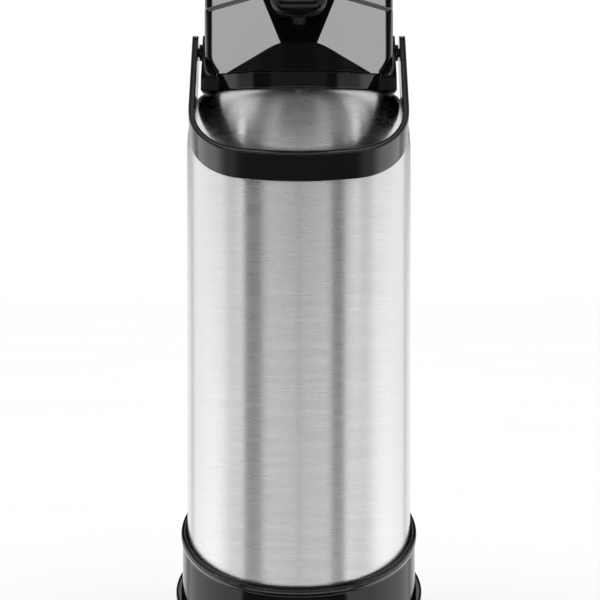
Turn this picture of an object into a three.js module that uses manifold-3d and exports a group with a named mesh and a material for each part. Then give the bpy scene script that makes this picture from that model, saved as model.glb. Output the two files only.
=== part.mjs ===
// Vacuum-insulated pump airpot, 1 litre class, with a swinging bail handle.
// Millimetres, +Z up, spout towards -Y. The origin is on the jug's axis, at the level it stands on.
import * as THREE from 'three';
import { mergeVertices } from 'three/addons/utils/BufferGeometryUtils.js';
import Module from 'manifold-3d';

const wasm = await Module();
wasm.setup();

// ---------------------------------------------------------------- driving dimensions
const GAP = 0.3;                // seating clearance between neighbouring pieces
const ROUND = 40;               // facets round a large body of revolution
const SMALL_ROUND = 16;         // facets round a pin, tube or washer

const PAD_RADIUS = 50;          // non-slip pad under the turntable
const PAD_HEIGHT = 1.5;
const FOOT_RADIUS = 56;         // turntable that the jug swivels on
const FOOT_TOP = 4.6;
const SPINDLE_RADIUS = 6;       // swivel spindle, and the flange that holds the jug down on it
const SPINDLE_FLANGE_RADIUS = 11;

const SKIRT_RADIUS = 64;        // lower tier of the base
const SKIRT_WALL = 3;
const SKIRT_BOTTOM = 5;
const SKIRT_FRONT_TOP = 12;     // height of its rim at the front
const SKIRT_RISE = 41;          // how much higher that rim is at the back
const BASE_RADIUS = 60.6;       // upper tier of the base
const BASE_LIP_RADIUS = 61.3;
const BASE_FRONT_TOP = 41;
const BASE_RISE = 46;
const RISE_POWER = 1.1;         // how late the rims start to rise from the front
const BASE_FLOOR = 6;
const BASE_FLOOR_THICKNESS = 2.6;

const BODY_RADIUS = 58;         // steel casing
const STEEL_WALL = 0.8;
const STEEL_BOTTOM = 12;
const SHOULDER_START = 257;
const SHOULDER_TOP = 287;
const MOUTH_RADIUS = 49;

const GLASS_WALL = 1.2;         // vacuum bottle: two glass bottles, one inside the other
const OUTER_BOTTLE = { radius: 49, neck: 30.3, bottom: 26, dome: 34, shoulder: 238, rise: 30 };
const INNER_BOTTLE = { radius: 44.5, neck: 28.7, bottom: 32, dome: 30, shoulder: 236, rise: 28 };
const NECK_TOP = 291;

const COLLAR_RADIUS = 48.9;     // black collar on the casing's mouth
const COLLAR_BOTTOM = 282;
const COLLAR_TOP = 295.4;
const COLLAR_BORE = 32.5;
const COLLAR_SEAT_RADIUS = 36;  // recess that the stopper drops into
const COLLAR_SEAT = 293;

const PIVOT_HEIGHT = 309;       // bail handle's pivot axis
const LUG_FACE = 49.6;          // outer face of each ear, from the jug's middle plane
const LUG_TOP_RADIUS = 9;
const LUG_BOTTOM = 287.5;
const LUG_FOOT = 28;            // half-length of an ear at the casing, and where it leaves the collar
const LUG_WAIST = 25.3;
const LUG_ROOT = 38;            // inner face of each ear inside the collar, below its flare to the tip
const LUG_FLARE = [[42.4, 295.7], [45.6, 305], [48.6, 318]];
const HOUSING_EAR_GAP = 0.5;    // room round each ear in the housing's lower corners
const PIVOT_PIN_RADIUS = 2.4;
const PIN_INNER_END = 46.9;
const PIN_OUTER_END = 54.4;
const ARM_INNER = 51.9;
const ARM_OUTER = 55;
const ARM_LOWER_OUTER = 54.8;
const STRAP_WIDTH = 17.6;
const BAIL_REST = 47.2;         // degrees off hanging straight down, where the strap lies on the casing
const BAIL_REACH = 91.5;        // from the pivot axis to the outside of the grip
const BAIL_CORNER_X = 26;       // centre and height of the grip's round corners
const BAIL_CORNER_Z = 58;
const BAIL_CORNER_RISE = 31.4;

const HEAD_HALF_WIDTH = 48;     // pump head
const HEAD_REAR = 50;
const HEAD_BOTTOM = 295.8;
const FACET_ANGLE = 30;         // each front facet turns this many degrees off straight ahead
const FACET_LEAN = 0.08;        // and leans back by this much per millimetre of height
const KEEL_LEAN = 0.311;        // the same for the flat keel between the facets
const KEEL_Y = -45.66;          // the keel at its foot, which the catch's top overlaps
const KEEL_FOOT = 307.8;
const CATCH_RECESS_Y = -43;     // front of the housing behind the catch
const FACET_OUTER_X = 46;       // outer edge of each facet, at the given height
const FACET_OUTER_Y = -23.6;
const FACET_HEIGHT = 311.2;
const SEAM_SIDE = 329;          // seam between housing and cover, rising to its level middle part
const SEAM_MIDDLE = 334.8;
const SEAM_MIDDLE_HALF = 20;
const COVER_TOP = 350;
const CAVITY_RADIUS = 37.2;
const CAVITY_Y = 0.8;
const CATCH_TOP = 310.9;
const CATCH_LEAN = 0.16;        // how the catch's front leans back as it rises
const CATCH_GAP = 0.35;         // between the catch and the housing behind it
const CATCH_SWING_ROOM = 1.8;   // above the part of it that fills the recess
const REACH = 80;               // half-size of tools that cut right across the head

const PUMP_Y = 6;               // axis of the pump, behind the jug's axis
const BUTTON_RADIUS = 30;
const WELL_RADIUS = 31;
const BELLOWS_RADIUS = 22;
const BELLOWS_BOTTOM = 299.4;
const BELLOWS_TOP = 333;
const BELLOWS_FOLDS = 5;

const TUBE_Y = -21;             // dip tube and its joint to the spout
const TUBE_RADIUS = 4.2;
const TUBE_WALL = 1.3;
const TUBE_BOTTOM = 40;
const OUTLET_Y = -67;
const NOZZLE_BOTTOM = 320;
const NOZZLE_TOP = 334.5;
const NOZZLE_HALF_WIDTH = 14.2;
const NOZZLE_HALF_DEPTH = 7;

const HINGE_Y = 51.5;           // lid hinge behind the collar
const HINGE_Z = 301.5;
const HINGE_PIN_RADIUS = 1.5;
const HINGE_BORE_RADIUS = 1.8;
const KNUCKLE_RADIUS = 3.8;
const KNUCKLE_HALF_WIDTH = 8;
const HINGE_HALF_WIDTH = 14;

// ---------------------------------------------------------------- materials
const finishes = {
  glossBlack: { color: 0x0b0b0d, roughness: 0.12, metalness: 0 },
  satinBlack: { color: 0x141416, roughness: 0.4, metalness: 0 },
  steel: { color: 0xc9c8c6, roughness: 0.32, metalness: 1 },
  glass: { color: 0xcfd6da, roughness: 0.08, metalness: 0.6 },
  clear: { color: 0xe6e8e6, roughness: 0.3, metalness: 0 },
  rubber: { color: 0x2a2a2b, roughness: 0.8, metalness: 0 },
  silicone: { color: 0xd9d6cf, roughness: 0.6, metalness: 0 },
  grey: { color: 0x77787a, roughness: 0.5, metalness: 0 },
  wire: { color: 0xb8b9bb, roughness: 0.25, metalness: 1 },
};

// ---------------------------------------------------------------- shape helpers
// Turns every triangle outwards if the closed surface encloses a negative volume.
function outward(geometry) {
  const merged = geometry.index ? geometry.clone() : mergeVertices(geometry);
  const p = merged.attributes.position;
  const index = merged.index.array;
  const corners = [new THREE.Vector3(), new THREE.Vector3(), new THREE.Vector3()];
  let volume = 0;
  for (let i = 0; i < index.length; i += 3) {
    corners.forEach((corner, k) => corner.fromBufferAttribute(p, index[i + k]));
    volume += corners[0].dot(corners[1].clone().cross(corners[2]));
  }
  if (volume < 0) {
    for (let i = 0; i < index.length; i += 3) {
      [index[i + 1], index[i + 2]] = [index[i + 2], index[i + 1]];
    }
  }
  return merged;
}

// Keeps positions only, with shared corners merged, so that a geometry is one closed surface.
function closed(geometry) {
  const bare = geometry.clone();
  bare.deleteAttribute('normal');
  bare.deleteAttribute('uv');
  return outward(mergeVertices(bare, 1e-4));
}

function toSolid(geometry) {
  const skin = closed(geometry);
  const mesh = new wasm.Mesh({
    numProp: 3,
    vertProperties: new Float32Array(skin.attributes.position.array),
    triVerts: new Uint32Array(skin.index.array),
  });
  mesh.merge();
  return new wasm.Manifold(mesh);
}

function toGeometry(solid) {
  const mesh = solid.getMesh();
  const geometry = new THREE.BufferGeometry();
  geometry.setAttribute('position', new THREE.BufferAttribute(mesh.vertProperties, 3));
  geometry.setIndex(new THREE.BufferAttribute(mesh.triVerts, 1));
  return geometry;
}

function joined(...geometries) {
  return toGeometry(geometries.map(toSolid).reduce((whole, piece) => whole.add(piece)));
}

function cut(geometry, ...tools) {
  return toGeometry(tools.map(toSolid).reduce((left, tool) => left.subtract(tool), toSolid(geometry)));
}

function common(...geometries) {
  return toGeometry(geometries.map(toSolid).reduce((whole, piece) => whole.intersect(piece)));
}

function outline(points) {
  return new THREE.Shape(points.map(([a, b]) => new THREE.Vector2(a, b)));
}

// A body of revolution about Z from a profile of [radius, height] points.
function turned(profile, facets = ROUND) {
  const points = profile.map(([r, z]) => new THREE.Vector2(r, z));
  return new THREE.LatheGeometry(points, facets).rotateX(Math.PI / 2);
}

// The same, for a ring whose profile closes on itself.
function ring(profile, facets = ROUND) {
  return turned([...profile, profile[0]], facets);
}

function tubeRing(inner, outer, bottom, top, facets = SMALL_ROUND) {
  return ring([[inner, bottom], [outer, bottom], [outer, top], [inner, top]], facets);
}

function disc(radius, bottom, top, facets = ROUND) {
  return turned([[0, bottom], [radius, bottom], [radius, top], [0, top]], facets);
}

// Prism from an [x, y] outline, between two heights.
function prismZ(points, bottom, top) {
  const settings = { depth: top - bottom, bevelEnabled: false };
  return new THREE.ExtrudeGeometry(outline(points), settings).translate(0, 0, bottom);
}

// Prism from a [y, z] outline, between two x values.
function prismX(points, from, to) {
  const settings = { depth: to - from, bevelEnabled: false };
  const turn = new THREE.Matrix4().makeBasis(
    new THREE.Vector3(0, 1, 0), new THREE.Vector3(0, 0, 1), new THREE.Vector3(1, 0, 0));
  return new THREE.ExtrudeGeometry(outline(points), settings).applyMatrix4(turn).translate(from, 0, 0);
}

// Prism from an [x, z] outline, between two y values.
function prismY(points, front, back) {
  const settings = { depth: back - front, bevelEnabled: false };
  return new THREE.ExtrudeGeometry(outline(points), settings).rotateX(Math.PI / 2).translate(0, back, 0);
}

function box(x0, x1, y0, y1, z0, z1) {
  return prismZ([[x0, y0], [x1, y0], [x1, y1], [x0, y1]], z0, z1);
}

// Round bar along X.
function barX(radius, from, to, y, z, facets = SMALL_ROUND) {
  return new THREE.CylinderGeometry(radius, radius, to - from, facets)
    .rotateZ(Math.PI / 2).translate((from + to) / 2, y, z);
}

function arc(count, from, to, place) {
  return Array.from({ length: count + 1 }, (_, i) => place(from + (to - from) * i / count));
}

function mirrored(points) {
  return [...points, ...points.map(([x, z]) => [-x, z]).reverse()];
}

const QUARTER = Math.PI / 2;

// ---------------------------------------------------------------- base
// Raises the points above a level by a share that grows smoothly from the front to the back.
function sweepRim(geometry, above, rise) {
  const p = geometry.attributes.position;
  for (let i = 0; i < p.count; i += 1) {
    if (p.getZ(i) > above) {
      const fromFront = Math.atan2(p.getX(i), -p.getY(i));
      const share = Math.sin(fromFront / 2) ** 2;
      p.setZ(i, p.getZ(i) + rise * share ** RISE_POWER);
    }
  }
  return geometry;
}

function baseShell() {
  const inner = BODY_RADIUS + GAP;
  const top = BASE_FRONT_TOP;
  const floorTop = BASE_FLOOR + BASE_FLOOR_THICKNESS;
  const profile = [
    [SPINDLE_RADIUS + GAP, BASE_FLOOR],
    [BASE_RADIUS, BASE_FLOOR],
    [BASE_RADIUS, top - 4.2],
    [BASE_LIP_RADIUS, top - 3],
    [BASE_LIP_RADIUS, top - 1.3],
    [BASE_RADIUS - 0.2, top - 0.2],
    [inner + 1, top],
    [inner, top - 0.8],
    [inner, floorTop],
    [SPINDLE_RADIUS + GAP, floorTop],
  ];
  return sweepRim(ring(profile), (floorTop + top) / 2, BASE_RISE);
}

function baseSkirt() {
  const inner = SKIRT_RADIUS - SKIRT_WALL - 0.1;
  const top = SKIRT_FRONT_TOP;
  const profile = [
    [inner, SKIRT_BOTTOM],
    [SKIRT_RADIUS - 0.8, SKIRT_BOTTOM],
    [SKIRT_RADIUS, SKIRT_BOTTOM + 0.8],
    [SKIRT_RADIUS, top - 1.6],
    [SKIRT_RADIUS - 0.7, top - 0.4],
    [SKIRT_RADIUS - 1.8, top],
    [inner, top],
  ];
  return sweepRim(ring(profile), (SKIRT_BOTTOM + top) / 2, SKIRT_RISE);
}

// Full-width disc whose spindle stands up through the base's floor; the hollow under it takes the pad.
function turntableFoot() {
  return turned([
    [0, PAD_HEIGHT + GAP],
    [PAD_RADIUS - 4, PAD_HEIGHT + GAP],
    [PAD_RADIUS - 4, 1.2],
    [FOOT_RADIUS - 1, 1.2],
    [FOOT_RADIUS, 2.2],
    [FOOT_RADIUS, FOOT_TOP],
    [SPINDLE_RADIUS, FOOT_TOP],
    [SPINDLE_RADIUS, BASE_FLOOR + BASE_FLOOR_THICKNESS + 1.6],
    [0, BASE_FLOOR + BASE_FLOOR_THICKNESS + 1.6],
  ]);
}

// Round cup on the base's floor that the bottle stands in, hollow in the middle over the spindle.
function bottleCup() {
  const floor = BASE_FLOOR + BASE_FLOOR_THICKNESS + GAP;
  return ring([
    [SPINDLE_FLANGE_RADIUS + 2, floor],
    [44, floor],
    [44, 30],
    [41.5, 30],
    [41.5, floor + 5],
    [30, floor + 2.5],
    [SPINDLE_FLANGE_RADIUS + 2, floor + 2.5],
  ]);
}

// ---------------------------------------------------------------- casing and bottle
function steelCasing() {
  const shoulderHeight = SHOULDER_TOP - SHOULDER_START;
  const shoulderDepth = BODY_RADIUS - MOUTH_RADIUS;
  const shoulder = (wall) => arc(6, 0, QUARTER, (t) => [
    MOUTH_RADIUS - wall + shoulderDepth * Math.cos(t),
    SHOULDER_START + (shoulderHeight - wall) * Math.sin(t),
  ]);
  return ring([
    [BODY_RADIUS, STEEL_BOTTOM],
    ...shoulder(0),
    ...shoulder(STEEL_WALL).reverse(),
    [BODY_RADIUS - STEEL_WALL, STEEL_BOTTOM],
  ]);
}

// Round-bottomed bottle, open at the neck.
function bottle({ radius, neck, bottom, dome, shoulder, rise }) {
  const skin = (inset) => [
    ...arc(4, 0, QUARTER, (t) => [
      (radius - inset) * Math.sin(t),
      bottom + dome - (dome - inset) * Math.cos(t),
    ]),
    ...arc(3, 0, QUARTER, (t) => [
      neck - inset + (radius - neck) * Math.cos(t),
      shoulder + rise * Math.sin(t),
    ]),
    [neck - inset, NECK_TOP],
  ];
  return turned([...skin(0), ...skin(GLASS_WALL).reverse()], 28);
}

function bottleCushion() {
  const { radius, bottom, dome } = OUTER_BOTTLE;
  const sag = 1.4;
  const under = (r) => bottom + dome - dome * Math.sqrt(1 - (r / radius) ** 2) - sag;
  return turned([
    [0, 14.5],
    [28, 14.5],
    [36, 18],
    [36, under(36)],
    [24, under(24)],
    [12, under(12)],
    [0, under(0)],
  ], 28);
}

function neckGasket() {
  const neck = OUTER_BOTTLE.neck + GAP;
  return ring([
    [neck, 283.5],
    [COLLAR_BORE - GAP, 283.5],
    [COLLAR_BORE - GAP, 292.7],
    [INNER_BOTTLE.neck - GLASS_WALL, 292.7],
    [INNER_BOTTLE.neck - GLASS_WALL, NECK_TOP + GAP],
    [neck, NECK_TOP + GAP],
  ], 36);
}

// ---------------------------------------------------------------- collar with the bail's ears
// One ear: a trapezoid seen from the side and a fin seen from the front, grown by a clearance.
function ear(clearance) {
  const foot = LUG_FOOT + clearance;
  const waist = LUG_WAIST + clearance;
  const crown = LUG_TOP_RADIUS + clearance;
  const side = [
    [-foot, LUG_BOTTOM],
    [-waist, COLLAR_TOP],
    ...arc(10, Math.PI, 0, (t) => [crown * Math.cos(t), PIVOT_HEIGHT + crown * Math.sin(t)]),
    [waist, COLLAR_TOP],
    [foot, LUG_BOTTOM],
  ];
  const outer = LUG_FACE + clearance;
  const top = PIVOT_HEIGHT + crown;
  const [root, middle, tip] = LUG_FLARE;
  const fin = [
    [LUG_ROOT, LUG_BOTTOM],
    [outer, LUG_BOTTOM],
    [outer, top],
    [tip[0] - clearance, top],
    [middle[0] - clearance, middle[1]],
    [root[0] - clearance, root[1]],
    [LUG_ROOT, COLLAR_TOP - 0.1],
  ];
  return common(prismX(side, LUG_ROOT, outer), prismY(fin, -foot - 1, foot + 1));
}

function bothSides(geometry) {
  return [geometry, geometry.clone().applyMatrix4(new THREE.Matrix4().makeScale(-1, 1, 1))];
}

function shoulderCollar() {
  const band = ring([
    [COLLAR_BORE, COLLAR_BOTTOM],
    [MOUTH_RADIUS - 1.4, COLLAR_BOTTOM],
    [MOUTH_RADIUS - 1.4, SHOULDER_TOP + 0.4],
    [COLLAR_RADIUS, SHOULDER_TOP + 0.4],
    [COLLAR_RADIUS, COLLAR_TOP],
    [COLLAR_SEAT_RADIUS, COLLAR_TOP],
    [COLLAR_SEAT_RADIUS, COLLAR_SEAT],
    [COLLAR_BORE, COLLAR_SEAT],
  ]);
  const web = [
    [HINGE_Y - 7, SHOULDER_TOP + 2],
    [HINGE_Y - 2.5, SHOULDER_TOP + 2],
    [HINGE_Y + KNUCKLE_RADIUS - 0.6, HINGE_Z - 2],
    [HINGE_Y, HINGE_Z],
    [HINGE_Y - KNUCKLE_RADIUS, HINGE_Z],
    [HINGE_Y - KNUCKLE_RADIUS, COLLAR_TOP - 0.1],
    [HINGE_Y - 7, COLLAR_TOP - 0.1],
  ];
  const from = KNUCKLE_HALF_WIDTH + GAP;
  const knuckle = joined(
    barX(KNUCKLE_RADIUS, from, HINGE_HALF_WIDTH, HINGE_Y, HINGE_Z),
    prismX(web, from, HINGE_HALF_WIDTH));
  const pinHoles = barX(PIVOT_PIN_RADIUS + GAP, -REACH, REACH, 0, PIVOT_HEIGHT);
  const hingeBore = barX(HINGE_BORE_RADIUS, -HINGE_HALF_WIDTH - 1, HINGE_HALF_WIDTH + 1, HINGE_Y, HINGE_Z);
  return cut(joined(band, ...bothSides(ear(0)), ...bothSides(knuckle)), pinHoles, hingeBore);
}

// Spider ring in the bottle's neck that holds the dip tube.
function tubeHolder() {
  const neck = INNER_BOTTLE.neck - GLASS_WALL;
  const rim = ring([
    [23.6, 286],
    [neck - GAP, 286],
    [neck - GAP, 293],
    [31.6, 293],
    [31.6, 294.6],
    [23.6, 294.6],
  ], 36);
  const boss = disc(TUBE_RADIUS + 1.8, 286, 294.6, SMALL_ROUND).translate(0, TUBE_Y, 0);
  const bore = disc(TUBE_RADIUS + GAP, 280, 300, SMALL_ROUND).translate(0, TUBE_Y, 0);
  return cut(joined(rim, boss), bore);
}

// ---------------------------------------------------------------- bail handle
// A flat strap bent into a U. Shaped hanging straight down from the pivot, then swung to its rest.
function bailHandle() {
  const edge = (inset) => [
    [0, inset - BAIL_REACH],
    [BAIL_CORNER_X, inset - BAIL_CORNER_Z - BAIL_CORNER_RISE],
    ...arc(8, QUARTER, 0, (t) => [
      BAIL_CORNER_X + (ARM_LOWER_OUTER - BAIL_CORNER_X - inset) * Math.cos(t),
      -BAIL_CORNER_Z - (BAIL_CORNER_RISE - inset) * Math.sin(t),
    ]).slice(1),
    [ARM_OUTER - inset, STRAP_WIDTH],
  ];
  const half = [...edge(0), ...edge(ARM_OUTER - ARM_INNER).reverse()];
  const left = half.slice(1, -1).map(([x, z]) => [-x, z]).reverse();
  const crown = STRAP_WIDTH / 2;
  const side = [
    [-crown, -BAIL_REACH - 1],
    [crown, -BAIL_REACH - 1],
    ...arc(10, 0, Math.PI, (t) => [crown * Math.cos(t), crown * Math.sin(t)]),
  ];
  const strap = common(prismY([...half, ...left], -crown, crown), prismX(side, -60, 60));
  return cut(strap, barX(PIVOT_PIN_RADIUS + 0.05, -60, 60, 0, 0))
    .rotateX(-THREE.MathUtils.degToRad(BAIL_REST))
    .translate(0, 0, PIVOT_HEIGHT);
}

// ---------------------------------------------------------------- pump head
const FACET_SLOPE = Math.tan(THREE.MathUtils.degToRad(FACET_ANGLE));

// Plan of the head behind its facets: straight sides and a round back.
function headPlan(grow) {
  const half = HEAD_HALF_WIDTH + grow;
  const bend = 14;
  const right = [
    [half - 4, -80],
    [half - 2.6, FACET_OUTER_Y - 1.4],
    [half - 0.8, FACET_OUTER_Y + 2.2],
    [half, FACET_OUTER_Y + 6.6],
    ...arc(8, 0, QUARTER, (t) => [half * Math.cos(t), bend + (HEAD_REAR + grow - bend) * Math.sin(t)]),
  ];
  const left = right.slice(0, -1).map(([x, y]) => [-x, y]).reverse();
  return [...right, ...left];
}

// Wedge behind the two front facets, which meet in the middle plane and lean back as they rise.
function behindFacets(grow, bottom, top) {
  const shift = grow / Math.cos(THREE.MathUtils.degToRad(FACET_ANGLE));
  const middle = FACET_OUTER_Y - FACET_OUTER_X * FACET_SLOPE - shift;
  const wedge = prismZ([
    [0, middle],
    [REACH, middle + REACH * FACET_SLOPE],
    [REACH, 2 * REACH],
    [-REACH, 2 * REACH],
    [-REACH, middle + REACH * FACET_SLOPE],
  ], bottom, top);
  return wedge.applyMatrix4(new THREE.Matrix4().makeShear(0, 0, 0, 0, 0, FACET_LEAN))
    .translate(0, -FACET_LEAN * FACET_HEIGHT, 0);
}

// Outer form of the head below the seam, with the keel between the facets and the catch's recess under it.
function headForm(grow, bottom, top, foot) {
  const keelAt = (z) => KEEL_Y - grow + (z - KEEL_FOOT) * KEEL_LEAN;
  const side = [
    [CATCH_RECESS_Y - grow, bottom],
    [HEAD_REAR + 5, bottom],
    [HEAD_REAR + 5, top],
    [keelAt(top), top],
    [keelAt(foot), foot],
    [CATCH_RECESS_Y - grow, foot],
  ];
  return common(
    prismZ(headPlan(grow), bottom, top),
    behindFacets(grow, bottom, top),
    prismX(side, -REACH, REACH));
}

// Region under the seam, which rises from both sides to the middle.
function underSeam(lower) {
  return prismY(mirrored([
    [REACH, HEAD_BOTTOM - 5],
    [REACH, SEAM_SIDE - lower],
    [FACET_OUTER_X, SEAM_SIDE - lower],
    [SEAM_MIDDLE_HALF, SEAM_MIDDLE - lower],
  ]), -REACH, REACH);
}

// Front outline of the housing: its lower corners are cut away above the ears.
function cornerCut() {
  return prismY(mirrored([
    [41.4, HEAD_BOTTOM],
    [46.2, 303.5],
    [60, 312],
    [60, SEAM_MIDDLE + 1],
  ]), -REACH, REACH);
}

function headHousing() {
  const form = common(headForm(0, HEAD_BOTTOM, SEAM_MIDDLE, KEEL_FOOT), underSeam(GAP), cornerCut());
  const cavity = disc(CAVITY_RADIUS, HEAD_BOTTOM - 1, SEAM_MIDDLE + 1).translate(0, CAVITY_Y, 0);
  const hingeRoom = box(-HINGE_HALF_WIDTH - 0.6, HINGE_HALF_WIDTH + 0.6, 46.8, 60, 290, 306.2);
  const knuckle = joined(
    barX(KNUCKLE_RADIUS, -KNUCKLE_HALF_WIDTH, KNUCKLE_HALF_WIDTH, HINGE_Y, HINGE_Z),
    box(-KNUCKLE_HALF_WIDTH, KNUCKLE_HALF_WIDTH, 43, HINGE_Y, HINGE_Z - 3, HINGE_Z + 6));
  const bore = barX(HINGE_BORE_RADIUS, -KNUCKLE_HALF_WIDTH - 1, KNUCKLE_HALF_WIDTH + 1, HINGE_Y, HINGE_Z);
  const body = cut(form, cavity, hingeRoom, ...bothSides(ear(HOUSING_EAR_GAP)));
  return cut(joined(body, knuckle), bore);
}

// Beak over the outlet, seen from above and from the side.
function beak() {
  const plan = [
    ...arc(8, Math.PI, 2 * Math.PI, (t) => [15.5 * Math.cos(t), -62 + 11.5 * Math.sin(t)]),
    [21, -38],
    [-21, -38],
  ];
  const side = [
    [-30, SEAM_MIDDLE],
    [-80, SEAM_MIDDLE],
    [-80, 336.5],
    [-73.5, 337.5],
    [-70, 341.5],
    [-64, 345.8],
    [-54, 348.8],
    [-44, COVER_TOP - 0.4],
    [-30, COVER_TOP - 0.4],
  ];
  return common(prismZ(plan, 330, COVER_TOP), prismX(side, -30, 30));
}

// Raised rim round the button, with the beak in front and a slot for the lock behind.
function topCover() {
  const whole = common(prismZ(headPlan(0), 320, COVER_TOP), behindFacets(0, 320, COVER_TOP));
  const form = cut(whole, underSeam(0));
  const slopedSides = prismY(mirrored([
    [60, 320],
    [60, 336],
    [HEAD_HALF_WIDTH, 337],
    [HEAD_HALF_WIDTH - 3, 344],
    [HEAD_HALF_WIDTH - 9, COVER_TOP],
  ]), -REACH, REACH);
  const slopedEnds = prismX([
    [-60, 320],
    [60, 320],
    [HEAD_REAR, 338],
    [HEAD_REAR - 1.5, 344],
    [HEAD_REAR - 4, COVER_TOP],
    [-39, COVER_TOP],
    [-60, 338],
  ], -REACH, REACH);
  const rounded = common(form, slopedSides, slopedEnds);
  const well = disc(WELL_RADIUS, 300, 360).translate(0, PUMP_Y, 0);
  const tubeChannel = prismX([
    [-71.4, 320],
    [-20, 320],
    [-20, 347],
    [-54, 347],
    [-63.5, 344],
    [-69, 340],
    [-71.4, 337],
  ], -5.6, 5.6);
  const lockSlot = box(-6.4, 6.4, 34, 46.9, 344, 360);
  return cut(joined(rounded, beak()), well, tubeChannel, lockSlot);
}

// Arched shield over the foot of the keel, pulled at its lower edge to free the head. Its back follows
// the facets and the keel, and fills the recess with enough room above for it to swing.
function frontCatch() {
  const lean = (z) => COLLAR_RADIUS - (z - HEAD_BOTTOM) * CATCH_LEAN;
  const dome = turned([
    [0, HEAD_BOTTOM],
    [COLLAR_RADIUS, HEAD_BOTTOM],
    [lean(CATCH_TOP), CATCH_TOP],
    [0, CATCH_TOP],
  ]);
  const archEdge = [
    [36.8, HEAD_BOTTOM],
    [24.6, 302.1],
    [15.4, 307.2],
    [10.5, 309.4],
    [5, CATCH_TOP - 0.3],
  ];
  const arch = prismY([
    [0, HEAD_BOTTOM],
    ...archEdge,
    [0, CATCH_TOP],
    ...archEdge.map(([x, z]) => [-x, z]).reverse(),
  ], -REACH, 0);
  return cut(common(dome, arch), headForm(CATCH_GAP, HEAD_BOTTOM - 1, CATCH_TOP + 1, KEEL_FOOT - CATCH_SWING_ROOM));
}

function stopper() {
  const plate = disc(COLLAR_SEAT_RADIUS - 0.5, 295, BELLOWS_BOTTOM - GAP);
  const tubeHole = disc(7.2, 290, 300, SMALL_ROUND).translate(0, TUBE_Y, 0);
  const airHole = disc(3, 290, 300, SMALL_ROUND).translate(0, PUMP_Y, 0);
  return cut(plate, tubeHole, airHole);
}

function bellows() {
  const fold = (BELLOWS_TOP - BELLOWS_BOTTOM) / BELLOWS_FOLDS;
  const zigzag = (radius) => Array.from({ length: 2 * BELLOWS_FOLDS + 1 }, (_, i) => [
    i % 2 === 0 ? radius - 3.4 : radius,
    BELLOWS_BOTTOM + i * fold / 2,
  ]);
  return ring([...zigzag(BELLOWS_RADIUS), ...zigzag(BELLOWS_RADIUS - 1.2).reverse()], 20);
}

class Helix extends THREE.Curve {
  constructor(radius, height, turns) {
    super();
    Object.assign(this, { radius, height, turns });
  }

  getPoint(t, target = new THREE.Vector3()) {
    const angle = 2 * Math.PI * this.turns * t;
    return target.set(this.radius * Math.cos(angle), this.radius * Math.sin(angle), this.height * t);
  }
}

function roundSection(radius, sides) {
  return new THREE.Shape(arc(sides - 1, 0, 2 * Math.PI * (sides - 1) / sides, (t) =>
    new THREE.Vector2(radius * Math.cos(t), radius * Math.sin(t))));
}

function returnSpring() {
  const wire = 0.7;
  const path = new Helix(11, BELLOWS_TOP - BELLOWS_BOTTOM - 2 * wire - 1.2, 5);
  return new THREE.ExtrudeGeometry(roundSection(wire, 6), { steps: 55, extrudePath: path })
    .translate(0, PUMP_Y, BELLOWS_BOTTOM + wire + 0.6);
}

function pumpPlate() {
  return disc(BELLOWS_RADIUS + 2.5, BELLOWS_TOP + GAP, BELLOWS_TOP + 3.3).translate(0, PUMP_Y, 0);
}

// Domed cap with a deep skirt, a post that bears on the pump plate and a slot for the lock's tongue.
function pushButton() {
  const skirtBottom = 337;
  const cap = turned([
    [0, BELLOWS_TOP + 3.6],
    [7, BELLOWS_TOP + 3.6],
    [7, 351.6],
    [24, 350.4],
    [BUTTON_RADIUS - 2.2, 348],
    [BUTTON_RADIUS - 2.2, skirtBottom],
    [BUTTON_RADIUS, skirtBottom],
    [BUTTON_RADIUS, 350.6],
    [BUTTON_RADIUS - 1.2, 352.6],
    [24, 354.6],
    [12, 356.4],
    [0, 357],
  ]).translate(0, PUMP_Y, 0);
  return cut(cap, box(-5.2, 5.2, 30, 40, 343.6, 347.6));
}

function lockSlider() {
  return joined(
    box(-5.9, 5.9, 41.4, 46.4, 344.4, 352.4),
    box(-4.6, 4.6, 37.4, 42, 344.4, 346.8));
}

function spoutTube() {
  const path = new THREE.CatmullRomCurve3([
    [TUBE_Y, 299.4], [TUBE_Y, 303], [-24.5, 309], [-28.5, 316], [-30.4, 324], [-30.6, 332],
    [-34, 338.6], [-42, 341.2], [-52, 341], [-60, 339.8], [OUTLET_Y + 0.8, 337], [OUTLET_Y + 0.8, 334.9],
  ].map(([y, z]) => new THREE.Vector3(0, y, z)), false, 'centripetal');
  const section = roundSection(TUBE_RADIUS, 8);
  section.holes.push(new THREE.Path(roundSection(TUBE_RADIUS - TUBE_WALL, 8).getPoints().reverse()));
  return new THREE.ExtrudeGeometry(section, { steps: 20, extrudePath: path });
}

function spoutNozzle() {
  const chin = turned([
    [0, NOZZLE_BOTTOM],
    [6, NOZZLE_BOTTOM + 0.4],
    [10, NOZZLE_BOTTOM + 2],
    [12.8, NOZZLE_BOTTOM + 5],
    [14, NOZZLE_BOTTOM + 9],
    [NOZZLE_HALF_WIDTH, NOZZLE_TOP],
    [0, NOZZLE_TOP],
  ], 32).scale(1, NOZZLE_HALF_DEPTH / NOZZLE_HALF_WIDTH, 1).translate(0, OUTLET_Y, 0);
  return cut(chin, disc(3.6, 310, 340, SMALL_ROUND).translate(0, OUTLET_Y, 0));
}

// ---------------------------------------------------------------- assembly
const airpot = new THREE.Group();

function add(name, finish, geometry) {
  const mesh = new THREE.Mesh(closed(geometry), new THREE.MeshStandardMaterial(finishes[finish]));
  mesh.name = name;
  airpot.add(mesh);
  return mesh;
}

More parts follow.
